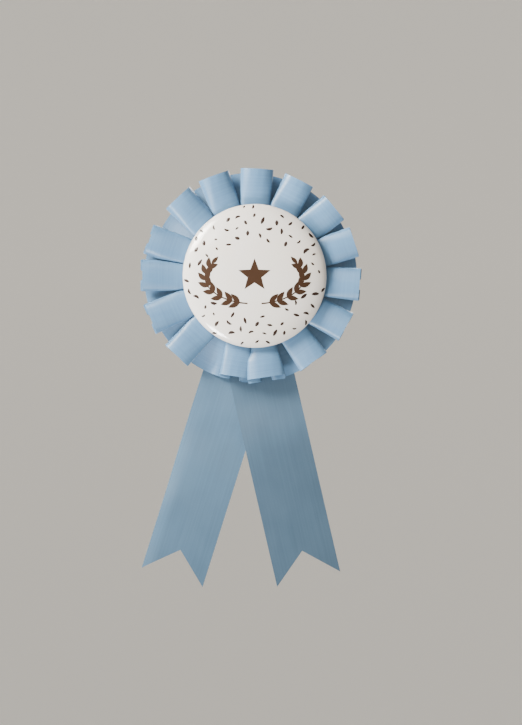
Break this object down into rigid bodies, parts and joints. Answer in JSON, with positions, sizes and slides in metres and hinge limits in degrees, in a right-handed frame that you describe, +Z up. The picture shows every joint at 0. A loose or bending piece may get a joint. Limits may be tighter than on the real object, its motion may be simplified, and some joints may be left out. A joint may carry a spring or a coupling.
{
  "type": "award ribbon",
  "caption": "Box-pleated satin rosette round a domed button badge, with two swallow-tail ribbons hanging below and a bar pin with a turning safety catch on the back.",
  "frame": {"origin": "centre of the back cover's rear face, where the garment lies", "axes": "+Z up when worn, the face towards -Y, the bar pin towards +Y, +X to the right as the face is seen"},
  "size_m": [0.0864, 0.023, 0.1635],
  "materials": {
    "blue_satin": "pale blue woven satin",
    "blue_thread": "twisted thread",
    "printed_paper": "white printed paper",
    "clear_film": "clear gloss",
    "tinplate": "pressed tinplate",
    "hot_melt": "translucent glue",
    "grey_board": "pressed paperboard",
    "white_card": "smooth white card",
    "staple_wire": "drawn wire",
    "foam_tape": "matt foam",
    "nickelled_steel": "nickel plated",
    "needle_steel": "polished wire"
  },
  "bodies": {
    "rosette": {"button_film": "clear_film", "button_print": "printed_paper", "button_shell": "tinplate", "button_back": "tinplate", "button_glue": "hot_melt", "pleat_ribbon": "blue_satin", "pleat_thread": "blue_thread", "pleat_glue": "hot_melt", "rosette_card": "grey_board", "back_cover": "white_card", "tail_left_anchor": "blue_satin", "tail_right_anchor": "blue_satin", "tail_staple_upper": "staple_wire", "tail_staple_lower": "staple_wire", "pin_tape": "foam_tape", "pin_base": "nickelled_steel", "pin_rivet": "nickelled_steel"},
    "left_tail": {"tail_left": "blue_satin"},
    "right_tail": {"tail_right": "blue_satin"},
    "needle": {"pin_needle": "needle_steel"},
    "lock": {"catch_lock": "nickelled_steel"}
  },
  "joints": [
    {"name": "left_tail_swing", "type": "hinge", "parent": "rosette", "child": "left_tail", "pos_m": [0, -0.00245, -0.045], "axis": [-1, 0, 0], "range_deg": [-60, 85]},
    {"name": "right_tail_swing", "type": "hinge", "parent": "rosette", "child": "right_tail", "pos_m": [0, -0.00245, -0.045], "axis": [-1, 0, 0], "range_deg": [-60, 85]},
    {"name": "needle_hinge", "type": "hinge", "parent": "rosette", "child": "needle", "pos_m": [-0.0125, 0.0039, 0.012], "axis": [0, 0, 1], "range_deg": [0, 80]},
    {"name": "lock_turn", "type": "hinge", "parent": "rosette", "child": "lock", "pos_m": [0.0123, 0.005, 0.012], "axis": [1, 0, 0], "range_deg": [-100, 0]}
  ],
  "couplings": [
    {"joint": "right_tail_swing", "follows": "left_tail_swing", "ratio": 1}
  ]
}
